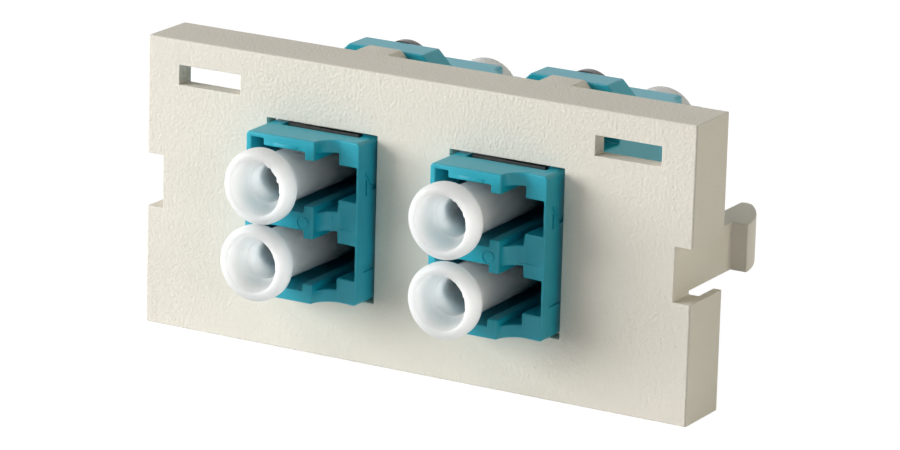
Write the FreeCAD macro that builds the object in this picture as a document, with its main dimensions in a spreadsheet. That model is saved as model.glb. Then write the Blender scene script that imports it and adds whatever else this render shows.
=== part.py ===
import FreeCAD, Part
import math
import os
import Sketcher

# A fibre outlet module: a moulded faceplate that carries two duplex adapters side by side, each with its
# two ports one above the other, and a flared dust cap in every port, front and rear.
#
# Frame: +X to the right, +Y to the back, +Z up, origin in the middle of the faceplate's front face.
# Every half of an adapter, and every cap, is drawn outwards from the adapter's middle plane along +Y. The
# rear ones stay so, and the front ones are turned half a turn about X.

DIMENSIONS = (
    ("plate_width", 48.4),
    ("plate_margin", 0.75),
    ("rim_depth", 5.2),
    ("rim_wall", 0.7),
    ("skin", 1.45),
    ("front_edge_round", 0.35),
    ("slot_side_margin", 5.7),
    ("slot_width", 5.6),
    ("slot_height", 1.58),
    ("slot_top_margin", 2.83),
    ("notch_depth", 1.49),
    ("notch_height", 4.32),
    ("latch_block_depth", 2.7),
    ("latch_block_margin", 2.29),
    ("latch_thickness", 2.0),
    ("latch_side_gap", 0.25),
    ("latch_grip", 4.4),
    ("barb_reach", 1.33),
    ("barb_land", 0.35),
    ("barb_length", 5.5),
    ("barb_curve", 9.5),
    ("barb_tip_width", 0.55),
    ("adapter_spacing", 16.4),
    ("opening_side_gap", 0.325),
    ("opening_end_gap", 0.225),
    ("boss_length", 9.5),
    ("boss_radius", 2.56),
    ("boss_flat_gap", 0.15),
    ("pilot_end_gap", 0.4),
    ("screw_fit_gap", 0.04),
    ("screw_spacing", 18.0),
    ("body_edge_bevel", 0.18),
    ("half_length", 14.85),
    ("flange_thickness", 2.7),
    ("flange_end", 2.0),
    ("flange_corner", 1.3),
    ("middle_setback", 1.75),
    ("web_thickness", 1.2),
    ("spigot_wall", 0.75),
    ("spigot_gap", 0.05),
    ("scoop_inset", 0.88),
    ("scoop_radius", 1.6),
    ("scoop_slope", 0.12),
    ("scoop_rear_extra", 0.7),
    ("port_side_wall", 0.69),
    ("port_end_wall", 0.955),
    ("port_pitch", 6.25),
    ("port_width", 4.6),
    ("port_height", 4.84),
    ("rib_width", 0.9),
    ("rib_gap", 3.62),
    ("shoulder_width", 1.23),
    ("shoulder_height", 4.66),
    ("lever_slot_reach", 1.63),
    ("lever_slot_height", 2.76),
    ("lever_slot_wall", 0.25),
    ("catch_depth", 2.6),
    ("catch_length", 4.0),
    ("key_slot_width", 1.1),
    ("key_slot_inset", 0.47),
    ("key_slot_rise", 0.55),
    ("key_slot_depth", 3.3),
    ("holder_wall", 0.49),
    ("holder_lip", 0.4),
    ("ferrule_gap", 0.03),
    ("sleeve_radius", 0.8),
    ("sleeve_wall", 0.17),
    ("sleeve_length", 11.0),
    ("sleeve_slit", 0.4),
    ("sleeve_gap", 0.06),
    ("clip_thickness", 0.3),
    ("clip_width", 4.3),
    ("clip_start", 2.2),
    ("clip_tab_width", 6.3),
    ("clip_tab_start", 0.25),
    ("clip_gap", 0.05),
    ("cap_stand", 3.55),
    ("cap_rim_gap", 0.14),
    ("cap_band_depth", 1.3),
    ("cap_lip_bevel", 0.28),
    ("cap_lip_width", 0.785),
    ("cap_fit_gap", 0.13),
    ("cap_throat_depth", 1.9),
    ("cap_flare_length", 1.4),
    ("cap_side_gap", 0.25),
    ("cap_web", 1.0),
    ("cap_seat_gap", 0.3),
    ("cap_grip", 3.0),
    ("screw_head_radius", 2.0),
    ("screw_head_height", 1.5),
    ("screw_shank_radius", 1.0),
    ("screw_length", 8.8),
)

doc = FreeCAD.newDocument("fibre_outlet_module")
sheet = doc.addObject("Spreadsheet::Sheet", "dims")


class Size:
    """A number together with the sheet formula that gives it."""

    def __init__(self, formula, value):
        self.formula = formula
        self.value = float(value)

    def joined(self, sign, other, value):
        return Size("(" + self.formula + " " + sign + " " + other.formula + ")", value)

    def __add__(self, other):
        other = as_size(other)
        return self.joined("+", other, self.value + other.value)

    def __sub__(self, other):
        other = as_size(other)
        return self.joined("-", other, self.value - other.value)

    def __mul__(self, other):
        other = as_size(other)
        return self.joined("*", other, self.value * other.value)

    def __truediv__(self, other):
        other = as_size(other)
        return self.joined("/", other, self.value / other.value)

    def __neg__(self):
        return self * -1

    __radd__ = __add__
    __rmul__ = __mul__


def as_size(number):
    if isinstance(number, Size):
        return number
    return Size(repr(float(number)), number)


def fill_sheet():
    """Writes the driving dimensions to the sheet and returns them by name."""
    sizes = {}
    for row, (name, value) in enumerate(DIMENSIONS, start=1):
        sheet.set("A" + str(row), name)
        sheet.set("B" + str(row), str(value))
        sheet.setAlias("B" + str(row), name)
        sizes[name] = Size("dims." + name, value)
    doc.recompute()
    return sizes


class Sizes:
    """The driving dimensions, read as attributes."""

    def __init__(self, sizes):
        self.__dict__.update(sizes)


d = Sizes(fill_sheet())


# ---------------------------------------------------------------------------------------------------
# Outlines: each is drawn into a sketch with all its points dimensioned from the sketch's origin.


class Outline:
    """A closed outline. An edge is straight unless bend() gives it a radius."""

    def __init__(self, *points):
        self.points = [(as_size(x), as_size(y)) for x, y in points]
        self.bends = {}

    def bend(self, edge, radius, turn):
        """Makes the edge from point `edge` to the next one an arc. turn is 1 for anticlockwise, else -1."""
        self.bends[edge] = (as_size(radius), turn)
        return self

    def draw(self, sketch):
        corners = [FreeCAD.Vector(x.value, y.value, 0) for x, y in self.points]
        count = len(corners)
        ends = []
        for edge in range(count):
            start = corners[edge]
            end = corners[(edge + 1) % count]
            if edge in self.bends:
                ends.append(self.draw_arc(sketch, start, end, *self.bends[edge]))
            else:
                ends.append((sketch.addGeometry(Part.LineSegment(start, end)), 1, 2))
        for edge in range(count):
            line, first, _ = ends[edge]
            before, _, last = ends[edge - 1]
            sketch.addConstraint(Sketcher.Constraint("Coincident", before, last, line, first))
            pin(sketch, line, first, *self.points[edge])

    @staticmethod
    def draw_arc(sketch, start, end, radius, turn):
        chord = end - start
        half = chord.Length / 2
        side = FreeCAD.Vector(-chord.y, chord.x, 0).normalize() * turn
        middle = (start + end) / 2
        centre = middle + side * math.sqrt(max(radius.value**2 - half**2, 0))
        low, high = (start, end) if turn > 0 else (end, start)
        first = math.atan2(low.y - centre.y, low.x - centre.x)
        last = math.atan2(high.y - centre.y, high.x - centre.x)
        circle = Part.Circle(centre, FreeCAD.Vector(0, 0, 1), radius.value)
        arc = sketch.addGeometry(Part.ArcOfCircle(circle, first, last))
        bind(sketch, Sketcher.Constraint("Radius", arc, radius.value), radius)
        return (arc, 1, 2) if turn > 0 else (arc, 2, 1)


class Round:
    """A circle."""

    def __init__(self, x, y, radius):
        self.x = as_size(x)
        self.y = as_size(y)
        self.radius = as_size(radius)

    def draw(self, sketch):
        centre = FreeCAD.Vector(self.x.value, self.y.value, 0)
        circle = Part.Circle(centre, FreeCAD.Vector(0, 0, 1), self.radius.value)
        edge = sketch.addGeometry(circle)
        pin(sketch, edge, 3, self.x, self.y)
        bind(sketch, Sketcher.Constraint("Radius", edge, self.radius.value), self.radius)


def bind(sketch, constraint, size):
    """Adds a dimension to the sketch and ties it to the sheet."""
    index = sketch.addConstraint(constraint)
    sketch.setExpression("Constraints[" + str(index) + "]", size.formula)


def pin(sketch, edge, point, x, y):
    """Dimensions one point of the sketch from its origin."""
    bind(sketch, Sketcher.Constraint("DistanceX", edge, point, x.value), x)
    bind(sketch, Sketcher.Constraint("DistanceY", edge, point, y.value), y)


def rectangle(x0, x1, y0, y1):
    return Outline((x0, y0), (x1, y0), (x1, y1), (x0, y1))


def centred(x, y, width, height):
    x, y, width, height = as_size(x), as_size(y), as_size(width), as_size(height)
    return rectangle(x - width / 2, x + width / 2, y - height / 2, y + height / 2)


# ---------------------------------------------------------------------------------------------------
# Pieces: each is one body, built up by features in the order that a designer would add them.

# Which way a sketch on each of the body's planes faces along its axis.
FACING = {"XY_Plane": 1, "YZ_Plane": 1, "XZ_Plane": -1}


class Piece:
    """A body with a name, a place and the features that shape it."""

    def __init__(self, name, place=(0, 0, 0), half_turn=False):
        self.body = doc.addObject("PartDesign::Body", name)
        self.body.Label = name
        turn = FreeCAD.Rotation(FreeCAD.Vector(1, 0, 0), 180 if half_turn else 0)
        spot = [as_size(value) for value in place]
        self.body.Placement = FreeCAD.Placement(FreeCAD.Vector(*[s.value for s in spot]), turn)
        for axis, size in zip("xyz", spot):
            self.body.setExpression("Placement.Base." + axis, size.formula)

    def origin(self, role):
        return next(part for part in self.body.Origin.OriginFeatures if part.Role == role)

    def sketch(self, plane, height, outlines):
        """Draws outlines on a plane parallel to one of the body's own, at a height along its axis."""
        drawing = self.body.newObject("Sketcher::SketchObject", self.body.Label + "_sketch")
        drawing.AttachmentSupport = [(self.origin(plane), "")]
        drawing.MapMode = "FlatFace"
        height = as_size(height) * FACING[plane]
        drawing.AttachmentOffset.Base.z = height.value
        drawing.setExpression("AttachmentOffset.Base.z", height.formula)
        for outline in outlines:
            outline.draw(drawing)
        return drawing

    def feature(self, kind, name, profile=None):
        made = self.body.newObject("PartDesign::" + kind, self.body.Label + "_" + name)
        if profile:
            made.Profile = profile
        return made

    def pad(self, name, plane, low, high, *outlines):
        """Adds material between two heights along the plane's axis."""
        start = low if FACING[plane] > 0 else high
        made = self.feature("Pad", name, self.sketch(plane, start, outlines))
        made.setExpression("Length", (as_size(high) - low).formula)
        return made

    def pocket(self, name, plane, low, high, *outlines):
        """Takes material away between two heights along the plane's axis."""
        start = high if FACING[plane] > 0 else low
        made = self.feature("Pocket", name, self.sketch(plane, start, outlines))
        made.setExpression("Length", (as_size(high) - low).formula)
        return made

    def revolve(self, name, outline):
        """Turns an outline of (radius, height) points about the body's Y axis."""
        drawing = self.sketch("XY_Plane", 0, [outline])
        made = self.feature("Revolution", name, drawing)
        made.ReferenceAxis = (drawing, ["V_Axis"])
        made.Angle = 360
        return made

    def mirror(self, name, originals):
        """Repeats features on the other side of the body's YZ plane."""
        made = self.feature("Mirrored", name)
        made.Originals = originals
        made.MirrorPlane = (self.origin("YZ_Plane"), [""])
        self.body.Tip = made
        return made

    def dress(self, kind, size_name, name, size, wanted):
        """Rounds or bevels the edges that wanted(edge) picks."""
        doc.recompute()
        base = self.body.Tip
        edges = ["Edge" + str(n) for n, edge in enumerate(base.Shape.Edges, start=1) if wanted(edge)]
        made = self.feature(kind, name)
        made.Base = (base, edges)
        made.setExpression(size_name, size.formula)
        return made

    def fillet(self, name, radius, wanted):
        return self.dress("Fillet", "Radius", name, radius, wanted)

    def chamfer(self, name, size, wanted):
        return self.dress("Chamfer", "Size", name, size, wanted)


def along(edge, axis):
    """Whether an edge is straight and runs along the given axis."""
    if not isinstance(edge.Curve, Part.Line):
        return False
    return abs(getattr(edge.Curve.Direction, axis)) > 0.999


def at(edge, axis, *places):
    """Whether an edge's middle lies at one of the given places along an axis."""
    middle = getattr(edge.CenterOfMass, axis)
    return any(abs(middle - place.value) < 0.01 for place in places)


# ---------------------------------------------------------------------------------------------------
# Places that several pieces share.

latch_width = d.rib_width + d.shoulder_width + d.lever_slot_reach + d.lever_slot_wall
body_half_width = (d.port_side_wall + d.port_width + latch_width) / 2
body_half_height = (d.port_pitch + d.port_height) / 2 + d.port_end_wall
middle_plane = d.boss_length + d.middle_setback
flange_back = d.boss_length + d.flange_thickness
flange_behind_middle = d.flange_thickness - d.middle_setback
port_floor = d.web_thickness
port_x = -body_half_width + d.port_side_wall + d.port_width / 2
port_z = d.port_pitch / 2
screw_z = d.screw_spacing / 2
flange_half_height = screw_z + d.flange_end
plate_half_height = flange_half_height + d.plate_margin
chamber_end = d.sleeve_length / 2 + d.sleeve_gap
holder_end = chamber_end + d.holder_lip
holder_radius = d.sleeve_radius + d.sleeve_gap + d.holder_wall
spigot_half_width = body_half_width - d.spigot_wall
spigot_half_height = body_half_height - d.spigot_wall
groove_depth = d.clip_thickness + d.clip_gap


def make_faceplate():
    plate = Piece("faceplate")
    half_width = d.plate_width / 2
    adapter_x = d.adapter_spacing / 2
    well_half_width = half_width - d.rim_wall
    well_half_height = plate_half_height - d.rim_wall
    latch_outside = half_width - d.notch_depth
    latch_inside = latch_outside - d.latch_thickness
    barb_front = d.rim_depth + d.latch_grip

    plate.pad("slab", "XZ_Plane", 0, d.rim_depth, centred(0, 0, d.plate_width, 2 * plate_half_height))
    plate.pocket(
        "well", "XZ_Plane", d.skin, d.rim_depth,
        rectangle(-well_half_width, well_half_width, -well_half_height, well_half_height),
    )
    plate.fillet("front_edges", d.front_edge_round, lambda edge: at(edge, "y", as_size(0)))

    block = plate.pad(
        "latch_block", "XZ_Plane", d.skin / 2, d.latch_block_depth,
        centred(
            (latch_inside + half_width - d.rim_wall / 2) / 2, 0,
            half_width - d.rim_wall / 2 - latch_inside, d.notch_height + 2 * d.latch_block_margin,
        ),
    )
    plate.mirror("latch_block_left", [block])
    plate.pocket(
        "notches", "XZ_Plane", 0, d.rim_depth,
        rectangle(latch_outside, half_width + 1, -d.notch_height / 2, d.notch_height / 2),
        rectangle(-half_width - 1, -latch_outside, -d.notch_height / 2, d.notch_height / 2),
    )
    arm = plate.pad(
        "latch_arm", "XY_Plane",
        d.latch_side_gap - d.notch_height / 2, d.notch_height / 2 - d.latch_side_gap,
        Outline(
            (latch_outside, d.skin),
            (latch_outside, barb_front),
            (latch_outside + d.barb_reach, barb_front),
            (latch_outside + d.barb_reach, barb_front + d.barb_land),
            (latch_inside + d.barb_tip_width, barb_front + d.barb_land + d.barb_length),
            (latch_inside, barb_front + d.barb_land + d.barb_length - d.barb_tip_width),
            (latch_inside, d.skin),
        ).bend(3, d.barb_curve, 1).bend(4, d.barb_tip_width, 1),
    )
    plate.mirror("latch_arm_left", [arm])

    bosses = [(side * adapter_x, end * screw_z) for side in (-1, 1) for end in (-1, 1)]
    plate.pad("bosses", "XZ_Plane", d.skin, d.boss_length, *[Round(x, z, d.boss_radius) for x, z in bosses])
    flat = flange_half_height + d.boss_flat_gap
    plate.pocket(
        "boss_flats", "XZ_Plane", d.rim_depth, d.boss_length,
        rectangle(-half_width, half_width, flat, flat + d.boss_radius),
        rectangle(-half_width, half_width, -flat - d.boss_radius, -flat),
    )
    pilot_depth = d.screw_length - d.flange_thickness + d.pilot_end_gap
    plate.pocket(
        "pilot_holes", "XZ_Plane", d.boss_length - pilot_depth, d.boss_length,
        *[Round(x, z, d.screw_shank_radius + d.screw_fit_gap) for x, z in bosses],
    )
    plate.pocket(
        "adapter_openings", "XZ_Plane", 0, d.boss_length,
        *[centred(side * adapter_x, 0, 2 * (body_half_width + d.opening_side_gap),
                  2 * (body_half_height + d.opening_end_gap)) for side in (-1, 1)],
    )
    slot_x = half_width - d.slot_side_margin
    slot_z = plate_half_height - d.slot_top_margin
    plate.pocket(
        "slots", "XZ_Plane", 0, d.skin,
        *[centred(side * slot_x, slot_z, d.slot_width, d.slot_height) for side in (-1, 1)],
    )
    return plate


def port_outline(z):
    """The stepped mouth of one port: plug, a rib above and below, latch shoulders and latch lever."""
    left = port_x - d.port_width / 2
    rib_start = port_x + d.port_width / 2
    rib_end = rib_start + d.rib_width
    shoulder_end = rib_end + d.shoulder_width
    lever_end = body_half_width - d.lever_slot_wall
    half = (
        (left, d.port_height / 2),
        (rib_start, d.port_height / 2),
        (rib_start, d.rib_gap / 2),
        (rib_end, d.rib_gap / 2),
        (rib_end, d.shoulder_height / 2),
        (shoulder_end, d.shoulder_height / 2),
        (shoulder_end, d.lever_slot_height / 2),
        (lever_end, d.lever_slot_height / 2),
    )
    below = [(x, z - rise) for x, rise in half]
    above = [(x, z + rise) for x, rise in reversed(half)]
    return Outline(*below, *above)


def catch_outline(z):
    """The pocket behind the latch shoulders, where the plug's latch springs out and holds."""
    start = port_x + d.port_width / 2 + d.rib_width + d.shoulder_width / 2
    end = body_half_width - d.lever_slot_wall
    return rectangle(start, end, z - d.shoulder_height / 2, z + d.shoulder_height / 2)


def key_outline(side):
    """The small slot in the port's outer corner, away from the latch."""
    left = -body_half_width + d.key_slot_inset
    top = port_z + d.port_height / 2 + d.key_slot_rise
    inner = port_z + d.port_height / 4
    if side > 0:
        return rectangle(left, left + d.key_slot_width, inner, top)
    return rectangle(left, left + d.key_slot_width, -top, -inner)


def band_outline(out, depth_out, depth_in):
    """A U that goes over the top, down the left side and under the bottom of the body."""
    end = d.clip_tab_width / 2 + out
    top_out = body_half_height + depth_out
    top_in = body_half_height - depth_in
    left_out = -body_half_width - depth_out
    left_in = -body_half_width + depth_in
    return Outline(
        (end, top_out), (left_out, top_out), (left_out, -top_out), (end, -top_out),
        (end, -top_in), (left_in, -top_in), (left_in, top_in), (end, top_in),
    )


def make_housing(side_name, side, front):
    """Half of an adapter, from its middle plane out to its mouth. The front half carries the flange."""
    name = side_name + ("_front_housing" if front else "_rear_housing")
    housing = Piece(name, (side * d.adapter_spacing / 2, middle_plane, 0), half_turn=front)
    body_start = -flange_behind_middle if front else flange_behind_middle
    scoop_start = port_x + d.port_width / 2 + d.scoop_inset
    scoop_end = scoop_start + d.scoop_radius
    scoop_top = d.half_length if front else d.half_length - d.scoop_rear_extra
    scoop_floor = scoop_top - d.scoop_radius
    scoop_side = [(scoop_start, d.half_length)]
    if not front:
        scoop_side.insert(0, (scoop_start, scoop_top))
    housing.pad(
        "shell", "XY_Plane", -body_half_height, body_half_height,
        Outline(
            (-body_half_width, body_start),
            (body_half_width, body_start),
            (body_half_width, scoop_floor + d.scoop_slope),
            (scoop_end, scoop_floor),
            *scoop_side,
            (-body_half_width, d.half_length),
        ).bend(3, d.scoop_radius, -1),
    )
    housing.chamfer("long_edges", d.body_edge_bevel, lambda edge: along(edge, "y"))

    if front:
        width, height, corner = body_half_width, flange_half_height, d.flange_corner
        housing.pad(
            "flange", "XZ_Plane", -flange_behind_middle, d.middle_setback,
            Outline(
                (-width, corner - height), (corner - width, -height),
                (width - corner, -height), (width, corner - height),
                (width, height - corner), (width - corner, height),
                (corner - width, height), (-width, height - corner),
            ),
        )
        housing.pocket(
            "screw_holes", "XZ_Plane", -flange_behind_middle, d.middle_setback,
            *[Round(0, end * screw_z, d.screw_shank_radius + 2 * d.screw_fit_gap) for end in (-1, 1)],
        )
        socket_half_width = spigot_half_width + d.spigot_gap
        socket_half_height = spigot_half_height + d.spigot_gap
        housing.pocket(
            "socket", "XZ_Plane", -flange_behind_middle, 0,
            rectangle(-socket_half_width, socket_half_width, -socket_half_height, socket_half_height),
        )
    else:
        housing.pad(
            "spigot", "XZ_Plane", 0, flange_behind_middle,
            rectangle(-spigot_half_width, spigot_half_width, -spigot_half_height, spigot_half_height),
        )

    housing.pocket(
        "ports", "XZ_Plane", port_floor, d.half_length,
        port_outline(port_z), port_outline(-port_z),
    )
    catch_end = d.half_length - d.scoop_radius - d.catch_depth
    housing.pocket(
        "latch_catches", "XZ_Plane", catch_end - d.catch_length, catch_end,
        catch_outline(port_z), catch_outline(-port_z),
    )
    housing.pocket(
        "key_slots", "XZ_Plane", d.half_length - d.key_slot_depth, d.half_length,
        key_outline(1), key_outline(-1),
    )
    ends = (port_z, -port_z)
    housing.pad(
        "sleeve_holders", "XZ_Plane", port_floor / 2, holder_end,
        *[Round(port_x, z, holder_radius) for z in ends],
    )
    housing.pocket(
        "sleeve_chambers", "XZ_Plane", 0, chamber_end,
        *[Round(port_x, z, d.sleeve_radius + d.sleeve_gap) for z in ends],
    )
    ferrule_hole_radius = d.sleeve_radius - d.sleeve_wall + d.ferrule_gap
    housing.pocket(
        "ferrule_holes", "XZ_Plane", chamber_end - d.sleeve_gap, holder_end,
        *[Round(port_x, z, ferrule_hole_radius) for z in ends],
    )
    if front:
        band_end = middle_plane - d.clip_start
        tab_end = middle_plane - d.clip_tab_start
        housing.pocket(
            "clip_groove", "XZ_Plane", band_end - d.clip_width - 2 * d.clip_gap, band_end,
            band_outline(2 * d.clip_gap, 1, groove_depth),
        )
        tab_half = d.clip_tab_width / 2 + 2 * d.clip_gap
        floor = body_half_height - groove_depth
        housing.pocket(
            "clip_tab_grooves", "XZ_Plane", band_end - d.clip_width / 2, tab_end + 2 * d.clip_gap,
            rectangle(-tab_half, tab_half, floor, body_half_height + 1),
            rectangle(-tab_half, tab_half, -body_half_height - 1, -floor),
        )
    return housing


def make_clip(side_name, side):
    """The sprung steel band round the front housing, with a tab under the faceplate's opening."""
    clip = Piece(side_name + "_retention_clip", (side * d.adapter_spacing / 2, middle_plane, 0), True)
    band_end = middle_plane - d.clip_start - d.clip_gap
    clip.pad(
        "band", "XZ_Plane", band_end - d.clip_width, band_end,
        band_outline(0, 0, d.clip_thickness),
    )
    half = d.clip_tab_width / 2
    inside = body_half_height - d.clip_thickness
    clip.pad(
        "tabs", "XZ_Plane", band_end - d.clip_width / 2, middle_plane - d.clip_tab_start,
        rectangle(-half, half, inside, body_half_height),
        rectangle(-half, half, -body_half_height, -inside),
    )
    return clip


def make_sleeve(side_name, side, level_name, level):
    """A split ceramic sleeve that lines two ferrules up, end to end, in the middle of the adapter."""
    place = (side * d.adapter_spacing / 2 + port_x, middle_plane, level * port_z)
    sleeve = Piece(side_name + "_" + level_name + "_sleeve", place)
    half = d.sleeve_length / 2
    sleeve.pad(
        "tube", "XZ_Plane", -half, half,
        Round(0, 0, d.sleeve_radius), Round(0, 0, d.sleeve_radius - d.sleeve_wall),
    )
    sleeve.pocket(
        "slit", "XZ_Plane", -half, half,
        rectangle(-d.sleeve_slit / 2, d.sleeve_slit / 2, 0, d.sleeve_radius * 2),
    )
    return sleeve


def make_cap(side_name, side, level_name, level, front):
    """A flared tube. Its blind mouth is the grip, and its other end slips over the sleeve holder."""
    name = side_name + "_" + level_name + ("_front_cap" if front else "_rear_cap")
    place = (side * d.adapter_spacing / 2 + port_x, middle_plane, level * port_z)
    cap = Piece(name, place, half_turn=front)
    rim = d.half_length + d.cap_stand
    web_inner = holder_end + d.cap_seat_gap
    inner_end = holder_end - d.cap_grip
    bore = holder_radius + d.cap_fit_gap
    shank = d.port_width / 2 - d.cap_side_gap
    widest = port_z - d.cap_rim_gap
    cap.revolve(
        "tube",
        Outline(
            (0, web_inner),
            (bore, web_inner),
            (bore, inner_end),
            (shank, inner_end),
            (shank, rim - d.cap_band_depth - d.cap_flare_length),
            (widest, rim - d.cap_band_depth),
            (widest, rim - d.cap_lip_bevel),
            (widest - d.cap_lip_bevel, rim),
            (widest - d.cap_lip_width, rim),
            (bore, rim - d.cap_throat_depth),
            (bore, web_inner + d.cap_web),
            (0, web_inner + d.cap_web),
        ),
    )
    return cap


def make_screw(side_name, side, level_name, level):
    """A pan head screw that cuts its own thread in the faceplate's boss."""
    place = (side * d.adapter_spacing / 2, flange_back, level * screw_z)
    screw = Piece(side_name + "_" + level_name + "_screw", place)
    shank = d.screw_shank_radius
    screw.revolve(
        "turned",
        Outline(
            (0, -d.screw_length),
            (shank, -d.screw_length),
            (shank, 0),
            (d.screw_head_radius, 0),
            (d.screw_head_radius, d.screw_head_height),
            (0, d.screw_head_height),
        ),
    )
    return screw


def make_adapter(side_name, side):
    pieces = [
        make_housing(side_name, side, True),
        make_housing(side_name, side, False),
        make_clip(side_name, side),
    ]
    for level_name, level in (("upper", 1), ("lower", -1)):
        pieces.append(make_sleeve(side_name, side, level_name, level))
        pieces.append(make_screw(side_name, side, level_name, level))
        pieces.append(make_cap(side_name, side, level_name, level, True))
        pieces.append(make_cap(side_name, side, level_name, level, False))
    return pieces


def check_document(pieces):
    """Stops unless every feature worked and every piece is one valid solid."""
    for part in doc.Objects:
        if "Invalid" in part.State or "Error" in part.State:
            raise RuntimeError(part.Label + " failed: " + str(part.State))
        if part.TypeId in ("PartDesign::Pocket", "PartDesign::Groove"):
            if part.BaseFeature.Shape.Volume - part.Shape.Volume < 1e-4:
                raise RuntimeError(part.Label + " cuts nothing")
    for piece in pieces:
        shape = piece.body.Shape
        if shape.isNull() or not shape.isValid() or len(shape.Solids) != 1:
            raise RuntimeError(piece.body.Label + " is not one valid solid")


pieces = [make_faceplate()]
for side_name, side in (("left", -1), ("right", 1)):
    pieces += make_adapter(side_name, side)
doc.recompute()
check_document(pieces)

os.makedirs("parts", exist_ok=True)
for piece in pieces:
    shape = piece.body.Shape
    shape.exportStep("parts/" + piece.body.Label + ".step")
    print(piece.body.Label, "volume", round(shape.Volume, 2), "mm3")
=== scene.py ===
# %% [markdown]
# # A fibre outlet module
#
# The real object is a moulded off-white faceplate that snaps into an outlet frame. It carries two aqua
# adapters side by side. Each adapter joins fibre plugs from the front to fibre plugs from the back, and
# until then a milky flared dust cap closes every port.
#
# The solid parts come ready made as the frame, at their true sizes and places. What is left for Blender is
# what the eye sees: small rounded edges, moulded marks, screw heads, soft caps, and the way that each
# plastic takes the light. This first cell loads the frame and keeps its size.

# %% Load the frame
import bpy, math
from mathutils import Matrix, Vector


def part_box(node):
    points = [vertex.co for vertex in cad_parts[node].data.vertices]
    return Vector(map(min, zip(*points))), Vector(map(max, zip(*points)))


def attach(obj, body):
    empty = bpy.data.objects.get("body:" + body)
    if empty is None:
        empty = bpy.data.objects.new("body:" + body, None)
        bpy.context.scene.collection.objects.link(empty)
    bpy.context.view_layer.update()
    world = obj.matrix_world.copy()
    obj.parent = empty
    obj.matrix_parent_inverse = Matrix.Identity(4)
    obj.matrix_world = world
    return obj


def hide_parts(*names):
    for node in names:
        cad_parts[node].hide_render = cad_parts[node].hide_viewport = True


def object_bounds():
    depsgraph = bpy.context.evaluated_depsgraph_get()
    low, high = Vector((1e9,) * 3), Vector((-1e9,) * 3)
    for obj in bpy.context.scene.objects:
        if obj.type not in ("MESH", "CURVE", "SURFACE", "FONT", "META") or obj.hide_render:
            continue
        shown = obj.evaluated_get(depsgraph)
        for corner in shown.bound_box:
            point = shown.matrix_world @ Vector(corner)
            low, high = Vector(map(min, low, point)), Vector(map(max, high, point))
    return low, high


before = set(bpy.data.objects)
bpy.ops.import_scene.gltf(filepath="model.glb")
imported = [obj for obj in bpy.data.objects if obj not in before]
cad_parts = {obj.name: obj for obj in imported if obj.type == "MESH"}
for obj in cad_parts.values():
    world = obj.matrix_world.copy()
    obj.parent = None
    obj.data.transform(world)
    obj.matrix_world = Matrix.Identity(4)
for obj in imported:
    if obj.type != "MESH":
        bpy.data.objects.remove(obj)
nodes = sorted(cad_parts)
MM = 0.001
cad_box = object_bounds()
print("CAD box in mm:", [[round(value / MM, 2) for value in corner] for corner in cad_box])

# %% [markdown]
# ## Seeing it
#
# The camera comes first, because every later choice is judged through it. A product shot like this is
# taken from far away with a long lens, so that the edges of the faceplate stay nearly parallel. The
# camera's place could be typed in as a point, but it is easier to think of it as a direction around the
# object, an angle above it and a distance, so those are the numbers here. A small roll tips the horizon,
# as when a camera is held slightly askew.

# %% Camera
AZIMUTH = math.radians(29.332)
ELEVATION = math.radians(15.757)
ROLL = math.radians(1.602)
DISTANCE = 389.75 * MM
AIM = Vector((3.40, 0.0, 0.72)) * MM
LENS = 203.66
SENSOR_WIDTH = 36

forward = Vector((-math.sin(AZIMUTH) * math.cos(ELEVATION),
                  math.cos(AZIMUTH) * math.cos(ELEVATION),
                  -math.sin(ELEVATION)))
level_right = Vector((math.cos(AZIMUTH), math.sin(AZIMUTH), 0))
level_up = level_right.cross(forward)
right = level_right * math.cos(ROLL) + level_up * math.sin(ROLL)
up = level_up * math.cos(ROLL) - level_right * math.sin(ROLL)

camera_data = bpy.data.cameras.new("camera")
camera_data.lens = LENS
camera_data.sensor_width = SENSOR_WIDTH
camera_data.clip_start = 10 * MM
camera = bpy.data.objects.new("camera", camera_data)
bpy.context.scene.collection.objects.link(camera)
camera.matrix_world = Matrix.Translation(AIM - forward * DISTANCE) @ Matrix(
    (right, up, -forward)).transposed().to_4x4()
bpy.context.scene.camera = camera
print("camera at", [round(value / MM, 1) for value in camera.matrix_world.translation], "mm")

# %% [markdown]
# ## Writing materials as plain maths
#
# A procedural finish is a small graph of nodes, and a graph typed node by node is hard to read. This class
# wraps one value in the graph. Adding, multiplying or comparing wires adds the Math nodes behind the
# scenes, so a finish can be written as the sum that it is. Every other kind of node comes from `node`.

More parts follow.
